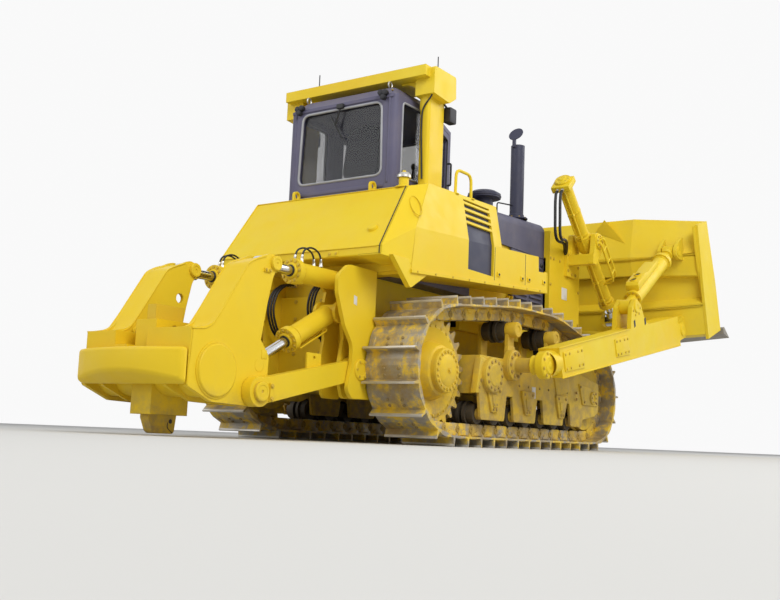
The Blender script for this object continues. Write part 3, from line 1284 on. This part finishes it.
def tank_fittings():
    """Weld beads, filler rim, plugs, breather and bolts on the fuel tank."""
    seams = Kit("tank_welds", "paint")
    seams.tube([(-903, -1085, 1862), (-903, 925, 1862)], 6, 8, 5)
    seams.tube([(-304, -985, 2592), (-304, 1020, 2592)], 6, 8, 5)
    seams.tube([(-304, 1028, 2590), (-902, 958, 1864), (-902, 958, 1790)], 6, 8, 20)
    groove = Kit("tank_seam", "dark")
    groove.tube([(-305, -982, 2592), (-905, -1116, 1866), (-905, -1116, 1790)], 5, 8, 20)
    trim = Kit("tank_trim", "paint")
    centre = at(-336, -1136, 2365)
    long_way = (at(-366, -1206, 2245) - at(-314, -1066, 2484)).normalized() * 0.128
    short_way = (at(-70, -1100, 2659) - at(-300, -998, 2590)).normalized() * 0.058
    trim.tube([centre + long_way * cos(radians(a)) + short_way * sin(radians(a)) for a in range(0, 361, 15)],
              7, 8, 1)
    trim.lathe((-720, -897, 2082), (-0.771, 0, 0.637), [(52, -6), (52, 14), (44, 26), (0, 30)], 28)
    trim.lathe((-245, -912, 2590), UP, [(88, -2), (88, 10), (64, 18), (58, 26)], 32)
    trim.lathe((-245, -912, 2755), UP, [(20, -3), (20, 12), (12, 18), (0, 18)])
    bolts = Kit("tank_bolts", "bolt")
    for y in (-560, 520):
        trim.block(-905, -893, y - 60, y + 60, 1792, 1850, 4)
        bolts.bolt((-905, y - 38, 1821), REAR, 10)
        bolts.bolt((-905, y + 38, 1821), REAR, 10)
    for y in (-1000, -300, 300, 860):
        bolts.bolt((-250, y, 2590), UP, 12)
    make(seams, groove, trim, bolts)


# Camera, floor and light

def place_camera():
    yaw, pitch, roll = (radians(angle) for angle in (CAMERA_YAW, CAMERA_PITCH, CAMERA_ROLL))
    forward = Vector((cos(yaw) * cos(pitch), sin(yaw) * cos(pitch), sin(pitch)))
    right = Vector((sin(yaw), -cos(yaw), 0.0))
    up = right.cross(forward)
    turned_right = right * cos(roll) + up * sin(roll)
    turned_up = up * cos(roll) - right * sin(roll)
    data = bpy.data.cameras.new("camera")
    data.sensor_width = SENSOR_WIDTH
    data.lens = FOCAL_PIXELS * SENSOR_WIDTH / PHOTO_WIDTH
    data.clip_end = 200.0
    camera = add_object("camera", data)
    turn = Matrix((turned_right, turned_up, -forward)).transposed().to_4x4()
    camera.matrix_world = Matrix.Translation(CAMERA_PLACE) @ turn
    bpy.context.scene.camera = camera


def build_floor():
    """A pale, matt floor that takes the machine's shadow."""
    mesh = bpy.data.meshes.new("floor")
    half = FLOOR_HALF
    mesh.from_pydata([(-half, -half, 0), (half, -half, 0), (half, half, 0), (-half, half, 0)], [], [(0, 1, 2, 3)])
    mesh.materials.append(plain_material("floor", (FLOOR_SHADE, FLOOR_SHADE, FLOOR_SHADE * 0.985), 0.9))
    add_object("floor", mesh)


def area_light(name, place, target, size, power, colour):
    data = bpy.data.lights.new(name, "AREA")
    data.size = size
    data.energy = power
    data.color = colour
    direction = Vector(target) - Vector(place)
    turn = direction.to_track_quat("-Z", "Y").to_matrix().to_4x4()
    add_object(name, data).matrix_world = Matrix.Translation(place) @ turn


def build_light():
    """An even sky that looks brighter to the camera than it shines, and three area lights."""
    world = bpy.data.worlds.new("world")
    bpy.context.scene.world = world
    world.use_nodes = True
    tree = world.node_tree
    sky = tree.nodes["Background"]
    sky.inputs["Color"].default_value = (*SKY_COLOUR, 1.0)
    sky.inputs["Strength"].default_value = SKY_STRENGTH
    paths = add_node(tree, "ShaderNodeLightPath")
    backdrop = add_node(tree, "ShaderNodeBackground", Color=(*WHITE, 1.0), Strength=BACKDROP_STRENGTH)
    share = add_node(tree, "ShaderNodeMath", operation="MAXIMUM")
    tree.links.new(paths.outputs["Is Camera Ray"], share.inputs[0])
    tree.links.new(paths.outputs["Is Glossy Ray"], share.inputs[1])
    either = add_node(tree, "ShaderNodeMixShader")
    for source, socket in zip((share, sky, backdrop), either.inputs):
        tree.links.new(source.outputs[0], socket)
    tree.links.new(either.outputs[0], tree.nodes["World Output"].inputs["Surface"])
    for lamp in LAMPS:
        area_light(*lamp)


bpy.context.scene.view_settings.view_transform = "Standard"
place_camera()
build_floor()
build_light()
dress_nodes()
for build in (ripper_cylinders, hose_ends, arm_fittings, beam_welds, beam_fittings, shank_fittings,
              bracket_fittings, track_fittings, frame_fittings, drive_fittings, blade_fittings, push_fittings,
              brace_fittings, lift_fittings, cab_glass, cab_inside, top_fittings, roll_bar_fittings,
              body_fittings, engine_door_fittings, tank_fittings):
    build()
